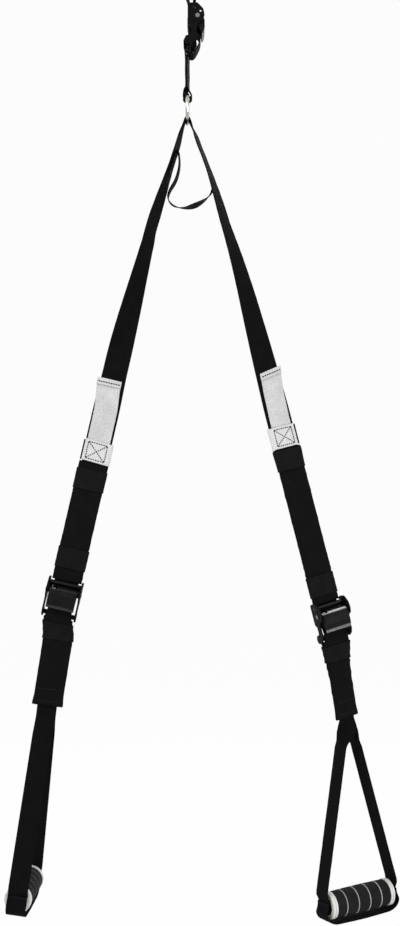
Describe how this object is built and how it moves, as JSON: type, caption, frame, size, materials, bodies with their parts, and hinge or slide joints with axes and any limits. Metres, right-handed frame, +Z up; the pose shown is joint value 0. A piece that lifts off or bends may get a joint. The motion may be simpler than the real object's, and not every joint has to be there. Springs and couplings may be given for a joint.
{
  "type": "suspension trainer",
  "caption": "Hanging strap trainer: webbing anchor loop, steel ring, and two adjustable strap legs with cam buckles, foam stirrup grips and foot loops.",
  "frame": {"origin": "middle of the bar that the anchor loop hangs on", "axes": "+Z up, +X to the viewer's right across the V of the two legs, -Y towards the viewer; the right leg is the one on the +X side"},
  "size_m": [0.6423, 0.1384, 1.6039],
  "materials": {
    "webbing_black": "woven, matt",
    "cover_cloth_black": "woven, matt",
    "elastic_black": "ribbed elastic, matt",
    "webbing_white": "woven, matt",
    "patch_white": "coated cloth, matt",
    "buckle_black": "satin black",
    "lever_grey": "satin dark grey",
    "steel_bright": "bright plated",
    "spring_steel": "plain",
    "foam_black": "closed-cell foam, matt",
    "tube_plastic_black": "moulded",
    "cap_white": "moulded",
    "ring_silver": "moulded, silver grey"
  },
  "bodies": {
    "anchor": {"anchor_strap": "webbing_black", "stub_strap": "webbing_black", "anchor_buckle_frame": "buckle_black", "anchor_pivot_pin": "steel_bright", "anchor_cam_spring": "spring_steel", "anchor_guide_bar": "buckle_black"},
    "anchor_lever": {"anchor_cam_lever": "lever_grey"},
    "ring": {"ring": "steel_bright"},
    "yoke": {"yoke_strap": "webbing_black", "limiter_loop": "webbing_black"},
    "left_leg": {"left_main_strap": "webbing_black", "left_pull_tab": "webbing_white", "left_splice_band": "webbing_black", "left_patch": "patch_white", "left_adjusting_strap": "webbing_black", "left_upper_cover": "cover_cloth_black", "left_keeper_top": "elastic_black"},
    "left_adjuster": {"left_keeper_mid": "elastic_black", "left_buckle_frame": "buckle_black", "left_pivot_pin": "steel_bright", "left_cam_spring": "spring_steel", "left_guide_bar": "buckle_black"},
    "left_lever": {"left_cam_lever": "lever_grey"},
    "left_handle": {"left_lower_cover": "cover_cloth_black", "left_keeper_low": "elastic_black", "left_handle_strap": "webbing_black"},
    "left_foot": {"left_foot_loop": "webbing_black"},
    "left_grip": {"left_grip_tube": "tube_plastic_black", "left_grip_foam": "foam_black", "left_grip_ring_1": "ring_silver", "left_grip_ring_2": "ring_silver", "left_grip_ring_3": "ring_silver", "left_grip_ring_4": "ring_silver", "left_grip_cap_near": "cap_white", "left_grip_cap_far": "cap_white"},
    "right_leg": {"right_main_strap": "webbing_black", "right_pull_tab": "webbing_white", "right_splice_band": "webbing_black", "right_patch": "patch_white", "right_adjusting_strap": "webbing_black", "right_upper_cover": "cover_cloth_black", "right_keeper_top": "elastic_black"},
    "right_adjuster": {"right_keeper_mid": "elastic_black", "right_buckle_frame": "buckle_black", "right_pivot_pin": "steel_bright", "right_cam_spring": "spring_steel", "right_guide_bar": "buckle_black"},
    "right_lever": {"right_cam_lever": "lever_grey"},
    "right_handle": {"right_lower_cover": "cover_cloth_black", "right_keeper_low": "elastic_black", "right_handle_strap": "webbing_black"},
    "right_foot": {"right_foot_loop": "webbing_black"},
    "right_grip": {"right_grip_tube": "tube_plastic_black", "right_grip_foam": "foam_black", "right_grip_ring_1": "ring_silver", "right_grip_ring_2": "ring_silver", "right_grip_ring_3": "ring_silver", "right_grip_ring_4": "ring_silver", "right_grip_cap_near": "cap_white", "right_grip_cap_far": "cap_white"}
  },
  "joints": [
    {"name": "anchor_cam", "type": "hinge", "parent": "anchor", "child": "anchor_lever", "pos_m": [0.0167, 0, -0.1033], "axis": [0, -1, 0], "range_deg": [0, 40], "stiffness_Nm_per_rad": 0.3, "springref_deg": -34.38, "deforming": ["anchor_cam_spring"]},
    {"name": "ring_swing", "type": "hinge", "parent": "anchor", "child": "ring", "pos_m": [0, 0, -0.2257], "axis": [0, 1, 0], "range_deg": [-20, 20], "deforming": ["stub_strap"]},
    {"name": "yoke_swing", "type": "hinge", "parent": "ring", "child": "yoke", "pos_m": [0, 0, -0.2727], "axis": [0, 1, 0], "range_deg": [-20, 20], "deforming": ["yoke_strap", "limiter_loop"]},
    {"name": "left_leg_swing", "type": "hinge", "parent": "yoke", "child": "left_leg", "pos_m": [-0.0568, 0, -0.4343], "axis": [0, 1, 0], "range_deg": [-13, 30], "deforming": ["yoke_strap"]},
    {"name": "left_length_slide", "type": "slide", "parent": "left_leg", "child": "left_adjuster", "axis": [0.225, 0, 0.9744], "range_m": [-0.06, 0.05], "deforming": ["left_adjusting_strap", "left_upper_cover"]},
    {"name": "left_cam", "type": "hinge", "parent": "left_adjuster", "child": "left_lever", "pos_m": [-0.2025, -0.013, -1.04201], "axis": [-0.9744, 0, 0.225], "range_deg": [0, 40], "stiffness_Nm_per_rad": 0.3, "springref_deg": -34.38, "deforming": ["left_cam_spring"]},
    {"name": "left_handle_swing", "type": "hinge", "parent": "left_adjuster", "child": "left_handle", "pos_m": [-0.21128, 0.0042, -1.08002], "axis": [0.9744, 0, -0.225], "range_deg": [-20, 20], "deforming": ["left_adjusting_strap"]},
    {"name": "left_grip_spin", "type": "hinge", "parent": "left_handle", "child": "left_grip", "pos_m": [-0.26887, 0.0042, -1.53208], "axis": [0.0519, 0.9986, -0.0065], "continuous": true},
    {"name": "left_foot_loop_swing", "type": "hinge", "parent": "left_handle", "child": "left_foot", "pos_m": [-0.26887, 0.0042, -1.53208], "axis": [0.0519, 0.9986, -0.0065], "range_deg": [-50, 50]},
    {"name": "right_leg_swing", "type": "hinge", "parent": "yoke", "child": "right_leg", "pos_m": [0.0617, 0, -0.4343], "axis": [0, 1, 0], "range_deg": [-30, 13], "deforming": ["yoke_strap"]},
    {"name": "right_length_slide", "type": "slide", "parent": "right_leg", "child": "right_adjuster", "axis": [-0.2495, 0, 0.9684], "range_m": [-0.06, 0.05], "deforming": ["right_adjusting_strap", "right_upper_cover"]},
    {"name": "right_cam", "type": "hinge", "parent": "right_adjuster", "child": "right_lever", "pos_m": [0.23739, -0.01188, -1.0751], "axis": [-0.8846, -0.4067, -0.228], "range_deg": [0, 40], "stiffness_Nm_per_rad": 0.3, "springref_deg": -34.38, "deforming": ["right_cam_spring"]},
    {"name": "right_handle_swing", "type": "hinge", "parent": "right_adjuster", "child": "right_handle", "pos_m": [0.24034, 0.00384, -1.11462], "axis": [0.8846, 0.4067, 0.228], "range_deg": [-20, 20], "deforming": ["right_adjusting_strap"]},
    {"name": "right_grip_spin", "type": "hinge", "parent": "right_handle", "child": "right_grip", "pos_m": [0.2804, 0.00384, -1.54831], "axis": [0.8772, 0.4772, 0.0536], "continuous": true},
    {"name": "right_foot_loop_swing", "type": "hinge", "parent": "right_handle", "child": "right_foot", "pos_m": [0.2804, 0.00384, -1.54831], "axis": [0.8772, 0.4772, 0.0536], "range_deg": [-50, 50]}
  ]
}
